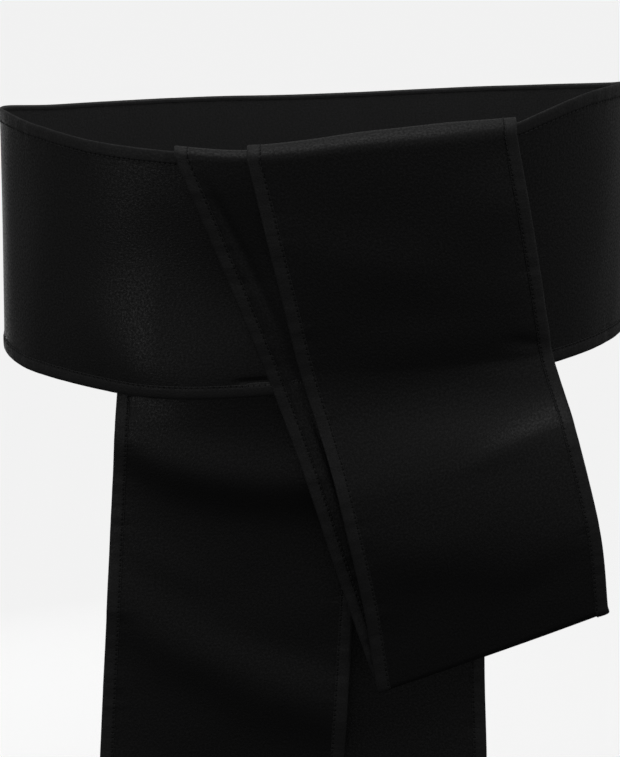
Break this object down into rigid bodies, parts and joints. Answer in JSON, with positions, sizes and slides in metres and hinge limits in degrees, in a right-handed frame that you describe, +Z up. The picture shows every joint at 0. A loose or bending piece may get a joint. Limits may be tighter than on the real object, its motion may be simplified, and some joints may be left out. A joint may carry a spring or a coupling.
{
  "type": "satin sash",
  "caption": "Satin waist sash with bound, topstitched edges, tied in a half bow at the front with a folded loop and hanging tails.",
  "frame": {"origin": "centre of the hollow inside the waist stretch, halfway up it, where the wearer's waist holds it", "axes": "+Z up along the wearer's body, +X to the viewer's right, +Y from the front with the bow to the back"},
  "size_m": [0.2653, 0.1974, 0.5732],
  "materials": {
    "sash_satin": "black satin with a soft sheen",
    "sash_binding": "black satin binding, topstitched"
  },
  "bodies": {
    "root": {"waist_band": "sash_satin", "loop_top_leaf": "sash_satin", "loop_under_leaf": "sash_satin", "front_tail": "sash_satin", "back_tail": "sash_satin", "waist_top_binding": "sash_binding", "waist_bottom_binding": "sash_binding", "loop_top_leaf_left_binding": "sash_binding", "loop_top_leaf_right_binding": "sash_binding", "loop_under_leaf_left_binding": "sash_binding", "loop_under_leaf_right_binding": "sash_binding", "front_tail_left_binding": "sash_binding", "front_tail_right_binding": "sash_binding", "front_tail_end_binding": "sash_binding", "back_tail_left_binding": "sash_binding", "back_tail_right_binding": "sash_binding", "back_tail_end_binding": "sash_binding"}
  },
  "joints": []
}
